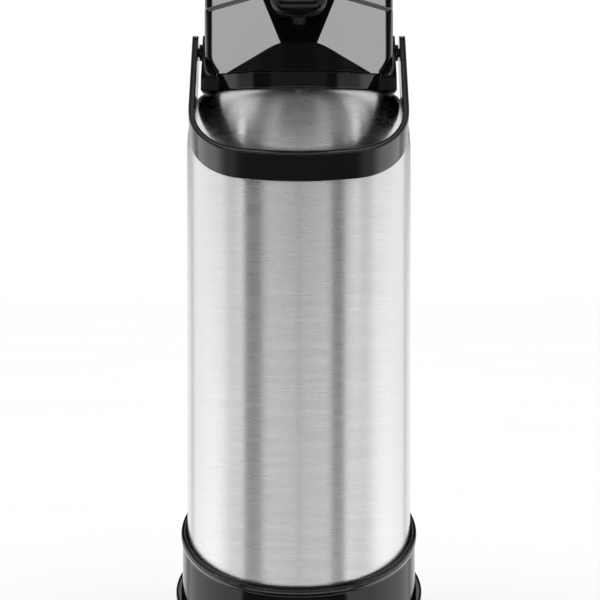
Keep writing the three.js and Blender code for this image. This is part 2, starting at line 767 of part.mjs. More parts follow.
add('foot_pad', 'rubber', disc(PAD_RADIUS - 4.4, 0, PAD_HEIGHT));
add('turntable_foot', 'satinBlack', turntableFoot());
add('spindle_washer', 'wire', disc(SPINDLE_FLANGE_RADIUS,
  BASE_FLOOR + BASE_FLOOR_THICKNESS + 1.9, BASE_FLOOR + BASE_FLOOR_THICKNESS + 3.1, SMALL_ROUND));

add('base_skirt', 'glossBlack', baseSkirt());
add('base_shell', 'glossBlack', baseShell());
add('bottle_cup', 'grey', bottleCup());
add('bottle_cushion', 'rubber', bottleCushion());
add('steel_casing', 'steel', steelCasing());
add('outer_bottle', 'glass', bottle(OUTER_BOTTLE));
add('inner_bottle', 'glass', bottle(INNER_BOTTLE));
add('neck_gasket', 'silicone', neckGasket());
add('shoulder_collar', 'glossBlack', shoulderCollar());
add('tube_holder', 'clear', tubeHolder());
add('dip_tube', 'clear', tubeRing(TUBE_RADIUS - TUBE_WALL, TUBE_RADIUS, TUBE_BOTTOM, 296.6))
  .position.set(0, TUBE_Y, 0);
add('lid_hinge_pin', 'wire', barX(HINGE_PIN_RADIUS, -HINGE_HALF_WIDTH, HINGE_HALF_WIDTH, HINGE_Y, HINGE_Z, 12));

add('bail_handle', 'satinBlack', bailHandle());
for (const [side, sign] of [['left', -1], ['right', 1]]) {
  const from = Math.min(sign * PIN_INNER_END, sign * PIN_OUTER_END);
  const to = Math.max(sign * PIN_INNER_END, sign * PIN_OUTER_END);
  add(`pivot_pin_${side}`, 'satinBlack', barX(PIVOT_PIN_RADIUS, from, to, 0, PIVOT_HEIGHT));
  const washer = tubeRing(PIVOT_PIN_RADIUS + 0.15, 4.3, 0, 1.5).rotateY(QUARTER);
  add(`pivot_washer_${side}`, 'satinBlack', washer)
    .position.set(sign > 0 ? LUG_FACE + GAP : -LUG_FACE - GAP - 1.5, 0, PIVOT_HEIGHT);
}

add('head_housing', 'glossBlack', headHousing());
add('top_cover', 'glossBlack', topCover());
add('front_catch', 'glossBlack', frontCatch());
add('stopper', 'grey', stopper());
add('stopper_gasket', 'silicone', tubeRing(32.8, COLLAR_SEAT_RADIUS - 0.5, COLLAR_SEAT + GAP, 294.7, 36));
add('tube_seal', 'silicone', tubeRing(TUBE_RADIUS + GAP, 6.8, 295, 299)).position.set(0, TUBE_Y, 0);
add('spout_tube', 'clear', spoutTube());
add('spout_nozzle', 'glossBlack', spoutNozzle());
add('bellows', 'rubber', bellows()).position.set(0, PUMP_Y, 0);
add('return_spring', 'wire', returnSpring());
add('air_valve', 'rubber', disc(5, BELLOWS_BOTTOM, 300.6, SMALL_ROUND)).position.set(0, PUMP_Y, 0);
add('pump_plate', 'grey', pumpPlate());
add('push_button', 'glossBlack', pushButton());
add('lock_slider', 'satinBlack', lockSlider());

export default airpot;
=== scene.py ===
"""Looks of the pump airpot: smooth shells, moulded plastics, brushed steel and a plain studio.

Lengths inside the shape functions are millimetres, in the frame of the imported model, and are scaled to
metres when a mesh is made. Z is up and the spout points to -Y.
"""
import math

import bmesh
import bpy
from mathutils import Matrix, Vector


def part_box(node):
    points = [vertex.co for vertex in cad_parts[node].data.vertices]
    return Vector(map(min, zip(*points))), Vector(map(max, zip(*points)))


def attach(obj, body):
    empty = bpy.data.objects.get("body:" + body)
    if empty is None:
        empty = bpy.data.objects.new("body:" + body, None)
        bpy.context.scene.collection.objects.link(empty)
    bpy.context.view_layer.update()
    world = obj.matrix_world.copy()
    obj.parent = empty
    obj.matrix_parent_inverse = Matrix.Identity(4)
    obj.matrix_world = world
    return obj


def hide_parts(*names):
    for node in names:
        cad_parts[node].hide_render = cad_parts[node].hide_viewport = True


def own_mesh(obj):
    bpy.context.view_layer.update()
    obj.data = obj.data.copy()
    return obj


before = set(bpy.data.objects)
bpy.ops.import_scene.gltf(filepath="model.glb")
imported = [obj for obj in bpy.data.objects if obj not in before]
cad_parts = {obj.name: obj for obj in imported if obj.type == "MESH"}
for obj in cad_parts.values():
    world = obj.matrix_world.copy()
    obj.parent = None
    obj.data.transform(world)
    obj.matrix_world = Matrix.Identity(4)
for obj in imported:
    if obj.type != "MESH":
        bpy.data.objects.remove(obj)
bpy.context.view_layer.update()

MM = 0.001
ROUND = 192            # facets round a large body of revolution
SMALL_ROUND = 64
SHARP = math.radians(35)


def box_mm(node):
    """Lowest and highest corner of a CAD node, in millimetres."""
    low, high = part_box(node)
    return low / MM, high / MM


# ---------------------------------------------------------------- dimensions, from the frame
BODY_RADIUS = box_mm("steel_casing")[1].x
CASING_BOTTOM = box_mm("steel_casing")[0].z
SHOULDER_TOP = box_mm("steel_casing")[1].z
SHOULDER_RISE = 30.0
MOUTH_RADIUS = BODY_RADIUS - 9
BASE_RADIUS = 60.6
LIP_RADIUS = box_mm("base_shell")[1].x
BASE_FRONT_TOP = 41.0
BASE_RISE = 46.0
SKIRT_RADIUS = box_mm("base_skirt")[1].x
SKIRT_FRONT_TOP = 12.0
SKIRT_RISE = 41.0
RISE_POWER = 1.1
COLLAR_RADIUS = 48.9
COLLAR_TOP = 295.4
COLLAR_BORE = 32.5
LUG_FACE = box_mm("shoulder_collar")[1].x
PIVOT_HEIGHT = 309.0
LUG_CROWN = 9.0
PIN_RADIUS = 2.4
ARM_OUTER = box_mm("bail_handle")[1].x
STRAP_WIDTH = 17.6
STRAP_THICKNESS = 3.1
BAIL_REST = math.radians(47.2)
BAIL_REACH = 91.5
HALF_WIDTH = box_mm("head_housing")[1].x
HEAD_REAR = 50.0
HEAD_BOTTOM = box_mm("front_catch")[0].z
SEAM_SIDE = 329.0
SEAM_MIDDLE = 334.8
SEAM_GAP = 0.15
COVER_TOP = box_mm("top_cover")[1].z
CATCH_TOP = box_mm("front_catch")[1].z
CAVITY_RADIUS = 37.2
CAVITY_Y = 0.8
PUMP_Y = 6.0
WELL_RADIUS = 31.0
BUTTON_RADIUS = box_mm("push_button")[1].x
TUBE_Y = -21.0
OUTLET_Y = -67.0
HINGE_Y = 51.5
HINGE_Z = 301.5
FACET = math.radians(30)
FACET_OFFSET = math.sin(FACET) * 46 + math.cos(FACET) * 23.6
FACET_LEAN = 0.08
FACET_HEIGHT = 311.2
KEEL_LEAN = 0.311
KEEL_Y = -45.82
KEEL_FOOT = 307.3
RECESS_Y = -43.0
CATCH_LEAN = 0.16


# ---------------------------------------------------------------- mesh helpers
def new_object(name, vertices, faces, material, smooth_angle=SHARP):
    mesh = bpy.data.meshes.new(name)
    mesh.from_pydata([Vector(v) * MM for v in vertices], [], faces)
    mesh.validate()
    work = bmesh.new()
    work.from_mesh(mesh)
    bmesh.ops.remove_doubles(work, verts=work.verts, dist=1e-6)
    bmesh.ops.recalc_face_normals(work, faces=work.faces)
    work.to_mesh(mesh)
    work.free()
    mesh.polygons.foreach_set("use_smooth", [True] * len(mesh.polygons))
    mesh.set_sharp_from_angle(angle=smooth_angle)
    piece = bpy.data.objects.new(name, mesh)
    bpy.context.scene.collection.objects.link(piece)
    mesh.materials.append(material)
    return piece


def fillet(points, radius, steps=4, closed=True):
    """Rounds the corners of an outline; radius is one number or one per point."""
    count = len(points)
    radii = radius if isinstance(radius, (list, tuple)) else [radius] * count
    rounded = []
    for i, (point, r) in enumerate(zip(points, radii)):
        here = Vector(point)
        ends = not closed and i in (0, count - 1)
        before = Vector(points[i - 1])
        after = Vector(points[(i + 1) % count])
        if ends or r <= 0:
            rounded.append(tuple(here))
            continue
        to_before = before - here
        to_after = after - here
        reach = min(r, to_before.length * 0.48, to_after.length * 0.48)
        start = here + to_before.normalized() * reach
        finish = here + to_after.normalized() * reach
        for k in range(steps + 1):
            t = k / steps
            rounded.append(tuple(start * (1 - t) ** 2 + here * 2 * t * (1 - t) + finish * t ** 2))
    return rounded


def revolve(name, profile, material, facets=ROUND, shift=None, closed=True, angle=SHARP):
    """Body of revolution about Z. shift moves a point (x, y, z) after turning, for rims that rise."""
    vertices = []
    for r, z in profile:
        for k in range(facets):
            turn = 2 * math.pi * k / facets
            point = (r * math.sin(turn), -r * math.cos(turn), z)
            vertices.append(shift(point) if shift else point)
    faces = []
    rows = len(profile)
    for i in range(rows if closed else rows - 1):
        j = (i + 1) % rows
        for k in range(facets):
            m = (k + 1) % facets
            faces.append((i * facets + k, i * facets + m, j * facets + m, j * facets + k))
    return new_object(name, vertices, faces, material, angle)


def loft(name, rings, material, closed=False, caps=False, angle=SHARP):
    """Skin through rings of equal length. closed joins the last ring to the first."""
    count = len(rings[0])
    vertices = [p for one in rings for p in one]
    faces = []
    rows = len(rings)
    for i in range(rows if closed else rows - 1):
        j = (i + 1) % rows
        for k in range(count):
            m = (k + 1) % count
            faces.append((i * count + k, i * count + m, j * count + m, j * count + k))
    if caps:
        faces.append(tuple(range(count))[::-1])
        faces.append(tuple((rows - 1) * count + k for k in range(count)))
    return new_object(name, vertices, faces, material, angle)


def join(name, pieces):
    """One object from several, keeping its shading."""
    first = pieces[0]
    with bpy.context.temp_override(active_object=first, selected_editable_objects=pieces):
        bpy.ops.object.join()
    first.name = name
    return first


def boolean(target, tool, operation):
    step = target.modifiers.new("cut", "BOOLEAN")
    step.operation = operation
    step.solver = "EXACT"
    step.object = tool
    bake(target)
    bpy.data.objects.remove(tool)
    return target


def bake(piece):
    """Applies a piece's modifiers to its mesh."""
    bpy.context.view_layer.update()
    graph = bpy.context.evaluated_depsgraph_get()
    mesh = bpy.data.meshes.new_from_object(piece.evaluated_get(graph))
    piece.modifiers.clear()
    piece.data = mesh
    return piece


def bar_x(name, radius, start, stop, y, z, material, bore=0.0, edge=0.3, facets=SMALL_ROUND):
    """Round bar or bush along X with eased edges."""
    length = stop - start
    inner = max(bore, 0.001)
    outline = [(inner, 0), (radius, 0), (radius, length), (inner, length)]
    profile = fillet(outline, [0, edge, edge, 0], 3)
    piece = revolve(name, profile, material, facets)
    onto_x = Matrix.Rotation(math.pi / 2, 4, "Y")
    piece.data.transform(Matrix.Translation((start * MM, y * MM, z * MM)) @ onto_x)
    return piece


def place(piece, body, *nodes, slot):
    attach(piece, body)
    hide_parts(*nodes)
    return piece


# ---------------------------------------------------------------- materials
def material(name, base, roughness, metallic=0.0):
    made = bpy.data.materials.new(name)
    made.use_nodes = True
    shader = made.node_tree.nodes["Principled BSDF"]
    shader.inputs["Base Color"].default_value = (*base, 1)
    shader.inputs["Roughness"].default_value = roughness
    shader.inputs["Metallic"].default_value = metallic
    return made, made.node_tree, shader


def add_node(tree, kind, **values):
    node = tree.nodes.new(kind)
    for key, value in values.items():
        if key in node.inputs:
            node.inputs[key].default_value = value
        else:
            setattr(node, key, value)
    return node


def noise(tree, scale, stretch=(1, 1, 1), detail=3.0):
    """Noise on the object's own coordinates, in waves per metre."""
    place_at = add_node(tree, "ShaderNodeTexCoord")
    mapping = add_node(tree, "ShaderNodeMapping")
    mapping.inputs["Scale"].default_value = stretch
    field = add_node(tree, "ShaderNodeTexNoise")
    field.inputs["Scale"].default_value = scale
    field.inputs["Detail"].default_value = detail
    tree.links.new(place_at.outputs["Object"], mapping.inputs["Vector"])
    tree.links.new(mapping.outputs["Vector"], field.inputs["Vector"])
    return field.outputs["Fac"]


def ranged(tree, value, low, high, from_low=0.0, from_high=1.0):
    node = add_node(tree, "ShaderNodeMapRange")
    node.inputs["From Min"].default_value = from_low
    node.inputs["From Max"].default_value = from_high
    node.inputs["To Min"].default_value = low
    node.inputs["To Max"].default_value = high
    tree.links.new(value, node.inputs["Value"])
    return node.outputs["Result"]


def colour_ramp(tree, value, low, high, start=0.3, stop=0.7):
    ramp = add_node(tree, "ShaderNodeValToRGB")
    ramp.color_ramp.elements[0].position = start
    ramp.color_ramp.elements[0].color = (*low, 1)
    ramp.color_ramp.elements[1].position = stop
    ramp.color_ramp.elements[1].color = (*high, 1)
    tree.links.new(value, ramp.inputs["Fac"])
    return ramp.outputs["Color"]


def bump(tree, shader, value, strength, distance):
    node = add_node(tree, "ShaderNodeBump")
    node.inputs["Strength"].default_value = strength
    node.inputs["Distance"].default_value = distance
    tree.links.new(value, node.inputs["Height"])
    tree.links.new(node.outputs["Normal"], shader.inputs["Normal"])


def moulded_plastic(name, base, roughness, grain_scale, grain_depth, coat_ior=None, ior=1.5):
    """Moulded plastic: mottled gloss, a faint colour drift and a fine surface grain."""
    made, tree, shader = material(name, base, roughness)
    shader.inputs["IOR"].default_value = ior
    if coat_ior:
        shader.inputs["Coat Weight"].default_value = 1
        shader.inputs["Coat IOR"].default_value = coat_ior
        shader.inputs["Coat Roughness"].default_value = 0.03
    wide = noise(tree, 60)
    tree.links.new(ranged(tree, wide, roughness * 0.75, roughness * 1.3, 0.3, 0.7),
                   shader.inputs["Roughness"])
    lighter = tuple(c * 1.35 for c in base)
    tree.links.new(colour_ramp(tree, noise(tree, 25), base, lighter), shader.inputs["Base Color"])
    bump(tree, shader, noise(tree, grain_scale, detail=2), 0.5, grain_depth)
    return made


def brushed_steel():
    """Stainless steel brushed round the body, so its gloss spreads up and down."""
    made, tree, shader = material("brushed_steel", (0.74, 0.735, 0.725), 0.3, 1.0)
    shader.inputs["Anisotropic"].default_value = 0.8
    shader.inputs["Anisotropic Rotation"].default_value = 0.25
    tangent = add_node(tree, "ShaderNodeTangent", direction_type="RADIAL", axis="Z")
    tree.links.new(tangent.outputs["Tangent"], shader.inputs["Tangent"])
    lines = noise(tree, 1.0, (90, 90, 5200), 4)
    fine = noise(tree, 1.0, (260, 260, 14000), 2)
    blotch = noise(tree, 1.0, (18, 18, 240), 3)
    tree.links.new(colour_ramp(tree, lines, (0.69, 0.685, 0.675), (0.77, 0.765, 0.755)),
                   shader.inputs["Base Color"])
    tree.links.new(ranged(tree, blotch, 0.25, 0.30, 0.3, 0.7), shader.inputs["Roughness"])
    bump(tree, shader, fine, 0.08, 0.00001)
    return made


def plain_metal(name, base, roughness):
    made, tree, shader = material(name, base, roughness, 1.0)
    tree.links.new(ranged(tree, noise(tree, 900), roughness * 0.7, roughness * 1.4, 0.3, 0.7),
                   shader.inputs["Roughness"])
    bump(tree, shader, noise(tree, 2500), 0.2, 0.00001)
    return made


def silvered_glass():
    made, tree, shader = material("silvered_glass", (0.82, 0.84, 0.86), 0.06, 0.85)
    tree.links.new(colour_ramp(tree, noise(tree, 30), (0.74, 0.77, 0.79), (0.88, 0.9, 0.91)),
                   shader.inputs["Base Color"])
    bump(tree, shader, noise(tree, 45), 0.25, 0.0002)
    return made


def translucent(name, base):
    made, tree, shader = material(name, base, 0.35)
    shader.inputs["Subsurface Weight"].default_value = 0.3
    shader.inputs["Subsurface Radius"].default_value = (0.004, 0.004, 0.004)
    tree.links.new(ranged(tree, noise(tree, 120), 0.28, 0.45, 0.3, 0.7), shader.inputs["Roughness"])
    bump(tree, shader, noise(tree, 700), 0.2, 0.00003)
    return made


def rubber(name, base):
    made, tree, shader = material(name, base, 0.75)
    lighter = tuple(c * 1.6 for c in base)
    tree.links.new(colour_ramp(tree, noise(tree, 300), base, lighter), shader.inputs["Base Color"])
    bump(tree, shader, noise(tree, 2600, detail=5), 0.6, 0.00006)
    return made


GLOSS = moulded_plastic("gloss_black_plastic", (0.0028, 0.0028, 0.003), 0.06, 160, 0.000006)
SATIN = moulded_plastic("satin_black_plastic", (0.013, 0.013, 0.014), 0.34, 2600, 0.00003)
HEAD_GLOSS = moulded_plastic("head_gloss_plastic", (0.0022, 0.0022, 0.0025), 0.05, 160, 0.000006,
                             coat_ior=1.8)
CATCH_PLASTIC = moulded_plastic("catch_plastic", (0.0025, 0.0025, 0.0028), 0.16, 160, 0.000006, ior=1.2)
SPOUT_PLASTIC = moulded_plastic("spout_plastic", (0.0025, 0.0025, 0.0028), 0.07, 160, 0.000006, ior=1.3)
HANDLE = moulded_plastic("handle_plastic", (0.0055, 0.0055, 0.006), 0.13, 900, 0.000006)
GREY = moulded_plastic("inner_grey_plastic", (0.16, 0.16, 0.165), 0.4, 1800, 0.00003)
STEEL = brushed_steel()
PIN = plain_metal("pin_steel", (0.7, 0.7, 0.71), 0.2)
GLASS = silvered_glass()
CLEAR = translucent("natural_plastic", (0.78, 0.79, 0.77))
SILICONE = translucent("silicone", (0.7, 0.68, 0.64))
RUBBER = rubber("black_rubber", (0.018, 0.018, 0.018))

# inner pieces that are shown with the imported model's own mesh
CAD_FINISHES = {
    "spindle_washer": PIN,
    "bottle_cup": GREY,
    "bottle_cushion": RUBBER,
    "outer_bottle": GLASS,
    "inner_bottle": GLASS,
    "lid_hinge_pin": PIN,
    "stopper": GREY,
    "spout_tube": CLEAR,
    "return_spring": PIN,
    "air_valve": RUBBER,
    "pump_plate": GREY,
}


def dress_cad_nodes():
    for name, finish in CAD_FINISHES.items():
        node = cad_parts[name]
        node.data.materials.clear()
        node.data.materials.append(finish)
        node.data.polygons.foreach_set("use_smooth", [True] * len(node.data.polygons))
        node.data.set_sharp_from_angle(angle=SHARP)


# ---------------------------------------------------------------- casing and base
def make_casing():
    depth = BODY_RADIUS - MOUTH_RADIUS
    shoulder_start = SHOULDER_TOP - SHOULDER_RISE
    wall = 0.7

    def shoulder(inset):
        turns = [math.pi / 2 * k / 28 for k in range(29)]
        return [(MOUTH_RADIUS - inset + depth * math.cos(t),
                 shoulder_start + (SHOULDER_RISE - inset) * math.sin(t)) for t in turns]
    outer = [(BODY_RADIUS, CASING_BOTTOM), (BODY_RADIUS, 60), (BODY_RADIUS, 160), *shoulder(0)]
    inner = [(BODY_RADIUS - wall, CASING_BOTTOM), (BODY_RADIUS - wall, 160), *shoulder(wall)]
    piece = revolve("casing_skin", outer + inner[::-1], STEEL, 256, angle=math.radians(50))
    place(piece, "jug", "steel_casing", slot="casing_steel")


def rising(rise, above):
    """Shift that raises the points above a level, more and more towards the back."""
    def shift(point):
        x, y, z = point
        if z <= above:
            return point
        share = math.sin(math.atan2(x, -y) / 2) ** 2
        return (x, y, z + rise * share ** RISE_POWER)
    return shift


def make_base():
    top = BASE_FRONT_TOP
    bead = LIP_RADIUS
    wall = BASE_RADIUS
    inner = BODY_RADIUS + 0.15
    outline = [
        (6.4, 6), (wall, 6), (wall, 7.5), (wall, 22), (wall, top - 6), (wall, top - 4.5),
        (bead - 0.15, top - 3.6), (bead, top - 2.4),
        (bead - 0.15, top - 1.9), (bead, top - 1.4), (bead - 0.5, top - 0.3), (wall - 0.9, top),
        (inner + 0.7, top - 0.1), (inner, top - 0.9), (inner, 8.6), (6.4, 8.6),
    ]
    radii = [0, 0.6, 0, 0, 0, 0.8, 0.6, 0.3, 0.2, 0.6, 0.6, 0.5, 0.5, 0.3, 0.3, 0]
    shell = revolve("base_upper_tier", fillet(outline, radii), GLOSS, 256, rising(BASE_RISE, 24))
    place(shell, "jug", "base_shell", slot="gloss_black")

    outer = SKIRT_RADIUS
    inner = BASE_RADIUS + 0.3
    outline = [(inner, 5), (outer, 5), (outer, 6.5), (outer, SKIRT_FRONT_TOP - 2.6), (outer, SKIRT_FRONT_TOP),
               (inner, SKIRT_FRONT_TOP)]
    profile = fillet(outline, [0.3, 1.0, 0, 0, 2.2, 0.4], 6)
    skirt = revolve("base_lower_tier", profile, GLOSS, 256, rising(SKIRT_RISE, 8.5))
    place(skirt, "jug", "base_skirt", slot="gloss_black")


# ---------------------------------------------------------------- prisms and bars
def prism(name, points, start, stop, axis, finish, edge=0.0, steps=3):
    """Prism from an outline along an axis, with its end edges eased by inset rings.

    The outline is [y, z] for axis "X", [x, z] for "Y" and [x, y] for "Z".
    """
    place_at = {
        "X": lambda a, b, c: (c, a, b),
        "Y": lambda a, b, c: (a, c, b),
        "Z": lambda a, b, c: (a, b, c),
    }[axis]
    middle_a = sum(p[0] for p in points) / len(points)
    middle_b = sum(p[1] for p in points) / len(points)
    far = max(math.hypot(a - middle_a, b - middle_b) for a, b in points)

    def ring(inset, at):
        share = 1 - inset / far
        return [place_at(middle_a + (a - middle_a) * share, middle_b + (b - middle_b) * share, at)
                for a, b in points]
    rings = [ring(0, start), ring(0, stop)]
    if edge > 0:
        turns = [math.pi / 2 * k / steps for k in range(steps + 1)]
        low = [ring(edge * (1 - math.sin(t)), start + edge * (1 - math.cos(t))) for t in turns]
        high = [ring(edge * (1 - math.cos(t)), stop - edge * (1 - math.sin(t))) for t in turns]
        rings = low + high
    return loft(name, rings, finish, caps=True)


def mirrored(piece, name):
    """A copy of a piece on the other side of the middle plane."""
    mesh = piece.data.copy()
    mesh.transform(Matrix.Scale(-1, 4, (1, 0, 0)))
    mesh.flip_normals()
    other = bpy.data.objects.new(name, mesh)
    bpy.context.scene.collection.objects.link(other)
    return other


def ease_edges(piece, width, steps=3, angle=35):
    """Rounds a piece's sharp edges."""
    step = piece.modifiers.new("edges", "BEVEL")
    step.width = width * MM
    step.segments = steps
    step.limit_method = "ANGLE"
    step.angle_limit = math.radians(angle)
    step.harden_normals = False
    bake(piece)
    piece.data.set_sharp_from_angle(angle=SHARP)
    return piece


# ---------------------------------------------------------------- collar, ears and hinge
def ear_solid(name, clearance, finish):
    """One of the collar's ears, grown by a clearance: a trapezoid from the side, a fin from the front."""
    foot = 28 + clearance
    waist = 25.3 + clearance
    crown = LUG_CROWN + clearance
    low = 287.5
    turns = [math.pi * (1 - k / 24) for k in range(25)]
    side = [(-foot, low), (-waist, COLLAR_TOP),
            *[(crown * math.cos(t), PIVOT_HEIGHT + crown * math.sin(t)) for t in turns],
            (waist, COLLAR_TOP), (foot, low)]
    outer = LUG_FACE + clearance
    top = PIVOT_HEIGHT + crown
    fin = [(38, low), (outer, low), (outer, top + 1), (48.6 - clearance, top + 1), (48.6 - clearance, top),
           (45.6 - clearance, 305), (42.4 - clearance, COLLAR_TOP + 0.3), (38, COLLAR_TOP - 0.1)]
    ear = prism(name, side, 37, outer, "X", finish)
    return boolean(ear, prism("fin", fin, -40, 40, "Y", finish), "INTERSECT")


def make_collar():
    top = COLLAR_TOP
    outline = [(COLLAR_BORE, 282), (47.6, 282), (47.6, 287.4), (COLLAR_RADIUS, 287.4), (COLLAR_RADIUS, 288.2),
               (COLLAR_RADIUS, top - 0.5), (COLLAR_RADIUS, top), (36, top), (36, 293), (COLLAR_BORE, 293)]
    radii = [0.4, 0.4, 0.2, 0.5, 0, 0, 0.25, 0.4, 0.2, 0.4]
    band = revolve("collar_band", fillet(outline, radii), GLOSS)
    ear = ease_edges(ear_solid("collar_ear", 0, GLOSS), 0.7)
    from_x = 8.3
    to_x = 14.0
    web = [(HINGE_Y - 7, 289), (HINGE_Y - 2.5, 289), (HINGE_Y + 3.2, HINGE_Z - 2), (HINGE_Y, HINGE_Z),
           (HINGE_Y - 3.8, HINGE_Z), (HINGE_Y - 3.8, COLLAR_TOP - 0.1), (HINGE_Y - 7, COLLAR_TOP - 0.1)]
    knuckle = bar_x("knuckle", 3.8, from_x, to_x, HINGE_Y, HINGE_Z, GLOSS, bore=1.8, edge=0.5)
    foot = prism("knuckle_web", fillet(web, 0.8), from_x, to_x, "X", GLOSS, edge=0.4)
    right = [ear, knuckle, foot]
    left = [mirrored(piece, piece.name + "_left") for piece in right]
    collar = join("collar", [band, *right, *left])
    place(collar, "jug", "shoulder_collar", slot="gloss_black")


def make_pivots():
    for side, sign in (("left", -1), ("right", 1)):
        ends = sorted((sign * 46.9, sign * 54.4))
        pin = bar_x(f"bail_pin_{side}", PIN_RADIUS, *ends, 0, PIVOT_HEIGHT, SATIN, edge=0.4)
        place(pin, "jug", f"pivot_pin_{side}", slot="satin_black")
        ends = sorted((sign * (LUG_FACE + 0.3), sign * (LUG_FACE + 1.8)))
        washer = bar_x(f"bail_washer_{side}", 4.3, *ends, 0, PIVOT_HEIGHT, SATIN, bore=2.55, edge=0.35)
        place(washer, "jug", f"pivot_washer_{side}", slot="satin_black")


def softened(line, spacing, reach, keep_above):
    """The line walked in even steps and averaged over its neighbours, except above a height."""
    walked = [Vector(line[0])]
    for point in line[1:]:
        target = Vector(point)
        while (target - walked[-1]).length > spacing:
            walked.append(walked[-1] + (target - walked[-1]).normalized() * spacing)
    walked.append(Vector(line[-1]))
    result = []
    for i, point in enumerate(walked):
        around = min(reach, i, len(walked) - 1 - i)
        if point.y > -keep_above:
            around = 0
        nearby = walked[i - around:i + around + 1]
        result.append(tuple(sum(nearby, Vector((0, 0))) / len(nearby)))
    return result


def make_bail():
    """A flat strap bent into a U, shaped hanging straight down and swung to its rest."""
    corner_x = 26.0
    corner_z = 58.0
    corner_rise = 31.4
    drop = BAIL_REACH - corner_z - corner_rise
    lower = 54.8
    half_strap = STRAP_WIDTH / 2
    turns = [math.pi / 2 * (1 - k / 32) for k in range(33)]
    bow = [k / 16 for k in range(16)]
    path = [(corner_x * t, -BAIL_REACH + drop * t * t) for t in bow]
    path += [(corner_x + (lower - corner_x) * math.cos(t), -corner_z - corner_rise * math.sin(t))
             for t in turns]
    arm = [k / 12 for k in range(1, 13)]
    path += [(lower + (ARM_OUTER - lower) * t, -corner_z * (1 - t)) for t in arm]
    crown = [math.pi / 2 * k / 16 for k in range(1, 16)]
    path += [(ARM_OUTER, half_strap * math.sin(t)) for t in crown]
    whole = softened([(-x, z) for x, z in path[:0:-1]] + path, 1.0, 6, half_strap)

    rings = []
    for i, (x, z) in enumerate(whole):
        before = Vector(whole[max(i - 1, 0)])
        after = Vector(whole[min(i + 1, len(whole) - 1)])
        along = (after - before).normalized()
        inward = Vector((-along.y, along.x))
        across = half_strap
        if z > 0:
            across = math.sqrt(max(half_strap ** 2 - z ** 2, 0.01))
        flat = across * 0.85
        section = [(0, -across), (STRAP_THICKNESS, -across), (STRAP_THICKNESS, -flat),
                   (STRAP_THICKNESS, flat),
                   (STRAP_THICKNESS, across), (0, across), (0, flat), (0, -flat)]
        ease = min(0.9, across * 0.12)
        eased = fillet(section, [ease, ease, 0, 0, ease, ease, 0, 0], 3)
        rings.append([(x + inward.x * deep, wide, z + inward.y * deep) for deep, wide in eased])
    strap = loft("bail_strap", rings, HANDLE, caps=True, angle=math.radians(50))
    turn = Matrix.Translation((0, 0, PIVOT_HEIGHT * MM)) @ Matrix.Rotation(-BAIL_REST, 4, "X")
    strap.data.transform(turn)
    bore = bar_x("bail_bore", PIN_RADIUS + 0.05, -60, 60, 0, PIVOT_HEIGHT, HANDLE)
    boolean(strap, bore, "DIFFERENCE")
    strap.data.set_sharp_from_angle(angle=SHARP)
    place(strap, "bail", "bail_handle", slot="handle_black")


# ---------------------------------------------------------------- pump head
def softest(values, hardness):
    """The smallest of several distances, rounded off where two of them meet."""
    least = min(values)
    return least * sum((v / least) ** -hardness for v in values) ** (-1 / hardness)


def to_plane(origin_y, dx, dy, nx, ny, offset):
    """Distance from (0, origin_y) along (dx, dy) to the line nx*x + ny*y = offset."""
    approach = nx * dx + ny * dy
    if approach < 1e-4:
        return 1e4
    return min((offset - ny * origin_y) / approach, 1e4)


def to_rear(origin_y, dx, dy, half, rear):
    """Distance to the head's straight sides and round back."""
    bend = 14.0
    side = half / abs(dx) if abs(dx) > 1e-6 else 1e4
    if origin_y + side * dy <= bend:
        return side
    a = (dx / half) ** 2 + (dy / (rear - bend)) ** 2
    shift = origin_y - bend
    b = 2 * dy * shift / (rear - bend) ** 2
    c = (shift / (rear - bend)) ** 2 - 1
    return (-b + math.sqrt(b * b - 4 * a * c)) / (2 * a)


def facet_offset(z):
    """Distance from the jug's axis to the planes of the two front facets, which lean back."""
    return FACET_OFFSET - math.cos(FACET) * FACET_LEAN * (z - FACET_HEIGHT)


def head_reach(origin_y, dx, dy, z, extra):
    """Distance from (0, origin_y) to the head's skin at a height, in one direction."""
    side = 1 if dx >= 0 else -1
    facet = to_plane(origin_y, dx, dy, side * math.sin(FACET), -math.cos(FACET), facet_offset(z))
    body = softest([facet, to_rear(origin_y, dx, dy, HALF_WIDTH, HEAD_REAR)], 45)
    return softest([body, *extra], 240)


def directions(count):
    return [(math.sin(t), -math.cos(t)) for t in (2 * math.pi * k / count for k in range(count))]


def seam_height(x):
    share = min(max((46 - abs(x)) / 26, 0), 1)
    return SEAM_SIDE + (SEAM_MIDDLE - SEAM_SIDE) * share


def corner_half_width(z):
    """How far the housing reaches sideways above the ears."""
    if z < 303.5:
        return 41.4 + (z - HEAD_BOTTOM) * 4.8 / 7.7
    return 46.2 + (z - 303.5) * 13.8 / 8.5


def keel_y(z):
    """Front of the leaning keel at a height."""
    return KEEL_Y + (z - KEEL_FOOT) * KEEL_LEAN


HEAD_DIRECTIONS = directions(360)


